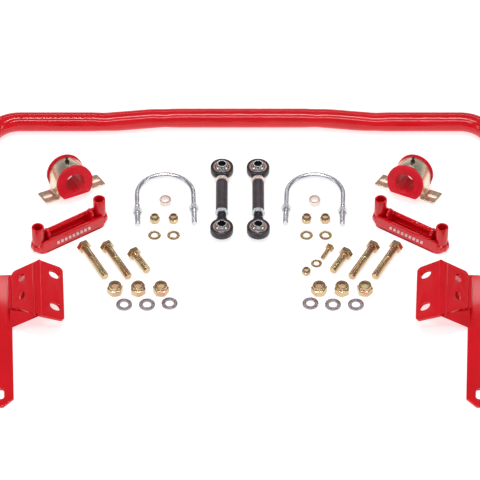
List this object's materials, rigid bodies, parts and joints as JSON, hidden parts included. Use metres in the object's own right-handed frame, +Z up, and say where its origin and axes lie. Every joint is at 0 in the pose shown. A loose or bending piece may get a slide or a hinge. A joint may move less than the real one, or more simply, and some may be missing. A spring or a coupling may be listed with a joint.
{
  "type": "rear sway bar kit",
  "caption": "Rear sway bar kit laid out flat: red tubular bar with bushings and straps, axle mounts, frame brackets, U-bolts, adjustable end links and fasteners.",
  "frame": {"origin": "on the floor, at the middle of the laid out kit's bounding box", "axes": "+X right along the bar, +Y from the front to the bar at the rear, +Z up from the floor"},
  "size_m": [0.9404, 0.6514, 0.0654],
  "materials": {
    "red_powder_coat": "gloss powder coat",
    "red_urethane": "moulded polyurethane",
    "gold_zinc": "yellow zinc dichromate",
    "silver_zinc": "clear zinc",
    "grey_zinc": "dull zinc",
    "dark_steel": "black oxide",
    "chrome": "polished chrome"
  },
  "bodies": {
    "kit": {"sway_bar": "red_powder_coat", "bushing_right": "red_urethane", "bushing_strap_right": "gold_zinc", "axle_mount_right": "red_powder_coat", "u_bolt_right": "silver_zinc", "frame_bracket_right": "red_powder_coat", "spacer_right": "silver_zinc", "u_bolt_locknut_right_1": "gold_zinc", "u_bolt_washer_right_1": "gold_zinc", "u_bolt_locknut_right_2": "gold_zinc", "u_bolt_washer_right_2": "gold_zinc", "short_bolt_right": "gold_zinc", "long_bolt_right_1": "gold_zinc", "long_bolt_right_2": "gold_zinc", "locknut_right_1": "gold_zinc", "flat_washer_right_1": "grey_zinc", "locknut_right_2": "gold_zinc", "flat_washer_right_2": "grey_zinc", "locknut_right_3": "gold_zinc", "flat_washer_right_3": "grey_zinc", "bushing_left": "red_urethane", "bushing_strap_left": "gold_zinc", "axle_mount_left": "red_powder_coat", "u_bolt_left": "silver_zinc", "frame_bracket_left": "red_powder_coat", "spacer_left": "silver_zinc", "u_bolt_locknut_left_1": "gold_zinc", "u_bolt_washer_left_1": "gold_zinc", "u_bolt_locknut_left_2": "gold_zinc", "u_bolt_washer_left_2": "gold_zinc", "short_bolt_left": "gold_zinc", "long_bolt_left_1": "gold_zinc", "long_bolt_left_2": "gold_zinc", "locknut_left_1": "gold_zinc", "flat_washer_left_1": "grey_zinc", "locknut_left_2": "gold_zinc", "flat_washer_left_2": "grey_zinc", "locknut_left_3": "gold_zinc", "flat_washer_left_3": "grey_zinc", "small_bolt": "gold_zinc", "small_washer": "gold_zinc", "small_locknut": "gold_zinc"},
    "link_tube_right": {"link_tube_right": "dark_steel"},
    "rod_end_right_rear": {"rod_end_right_rear": "dark_steel", "jam_nut_right_rear": "silver_zinc"},
    "link_ball_right_rear": {"link_ball_right_rear": "chrome"},
    "rod_end_right_front": {"rod_end_right_front": "dark_steel", "jam_nut_right_front": "silver_zinc"},
    "link_ball_right_front": {"link_ball_right_front": "chrome"},
    "u_bolt_nut_right_outer": {"u_bolt_nut_right_outer": "silver_zinc"},
    "u_bolt_nut_right_inner": {"u_bolt_nut_right_inner": "silver_zinc"},
    "link_tube_left": {"link_tube_left": "dark_steel"},
    "rod_end_left_rear": {"rod_end_left_rear": "dark_steel", "jam_nut_left_rear": "silver_zinc"},
    "link_ball_left_rear": {"link_ball_left_rear": "chrome"},
    "rod_end_left_front": {"rod_end_left_front": "dark_steel", "jam_nut_left_front": "silver_zinc"},
    "link_ball_left_front": {"link_ball_left_front": "chrome"},
    "u_bolt_nut_left_outer": {"u_bolt_nut_left_outer": "silver_zinc"},
    "u_bolt_nut_left_inner": {"u_bolt_nut_left_inner": "silver_zinc"}
  },
  "joints": [
    {"name": "link_tube_right_spin", "type": "hinge", "parent": "kit", "child": "link_tube_right", "pos_m": [0.0293, 0.12459, 0.015], "axis": [0, 1, 0], "range_deg": [0, 1441]},
    {"name": "rod_end_right_rear_travel", "type": "slide", "parent": "kit", "child": "rod_end_right_rear", "axis": [0, 1, 0], "range_m": [0, 0.00508]},
    {"name": "link_ball_right_rear_tilt", "type": "hinge", "parent": "rod_end_right_rear", "child": "link_ball_right_rear", "pos_m": [0.0293, 0.18984, 0.015], "axis": [0, 1, 0], "range_deg": [-12, 12]},
    {"name": "rod_end_right_front_travel", "type": "slide", "parent": "kit", "child": "rod_end_right_front", "axis": [0, -1, 0], "range_m": [0, 0.0051]},
    {"name": "link_ball_right_front_tilt", "type": "hinge", "parent": "rod_end_right_front", "child": "link_ball_right_front", "pos_m": [0.0293, 0.05184, 0.015], "axis": [0, 1, 0], "range_deg": [-12, 12]},
    {"name": "u_bolt_nut_right_outer_travel", "type": "slide", "parent": "kit", "child": "u_bolt_nut_right_outer", "axis": [-0.0349, -0.9994, 0], "range_m": [-0.006, 0.026]},
    {"name": "u_bolt_nut_right_inner_travel", "type": "slide", "parent": "kit", "child": "u_bolt_nut_right_inner", "axis": [-0.0349, -0.9994, 0], "range_m": [-0.002, 0.03]},
    {"name": "link_tube_left_spin", "type": "hinge", "parent": "kit", "child": "link_tube_left", "pos_m": [-0.0293, 0.12459, 0.015], "axis": [0, 1, 0], "range_deg": [0, 1441]},
    {"name": "rod_end_left_rear_travel", "type": "slide", "parent": "kit", "child": "rod_end_left_rear", "axis": [0, 1, 0], "range_m": [0, 0.00508]},
    {"name": "link_ball_left_rear_tilt", "type": "hinge", "parent": "rod_end_left_rear", "child": "link_ball_left_rear", "pos_m": [-0.0293, 0.18984, 0.015], "axis": [0, 1, 0], "range_deg": [-12, 12]},
    {"name": "rod_end_left_front_travel", "type": "slide", "parent": "kit", "child": "rod_end_left_front", "axis": [0, -1, 0], "range_m": [0, 0.0051]},
    {"name": "link_ball_left_front_tilt", "type": "hinge", "parent": "rod_end_left_front", "child": "link_ball_left_front", "pos_m": [-0.0293, 0.05184, 0.015], "axis": [0, 1, 0], "range_deg": [-12, 12]},
    {"name": "u_bolt_nut_left_outer_travel", "type": "slide", "parent": "kit", "child": "u_bolt_nut_left_outer", "axis": [0.0349, -0.9994, 0], "range_m": [-0.006, 0.026]},
    {"name": "u_bolt_nut_left_inner_travel", "type": "slide", "parent": "kit", "child": "u_bolt_nut_left_inner", "axis": [0.0349, -0.9994, 0], "range_m": [-0.002, 0.03]}
  ],
  "couplings": [
    {"joint": "link_tube_right_spin", "follows": "rod_end_right_rear_travel", "rad_per_m": 4947.4},
    {"joint": "rod_end_right_front_travel", "follows": "rod_end_right_rear_travel", "ratio": 1},
    {"joint": "link_tube_left_spin", "follows": "rod_end_left_rear_travel", "rad_per_m": 4947.4},
    {"joint": "rod_end_left_front_travel", "follows": "rod_end_left_rear_travel", "ratio": 1}
  ]
}
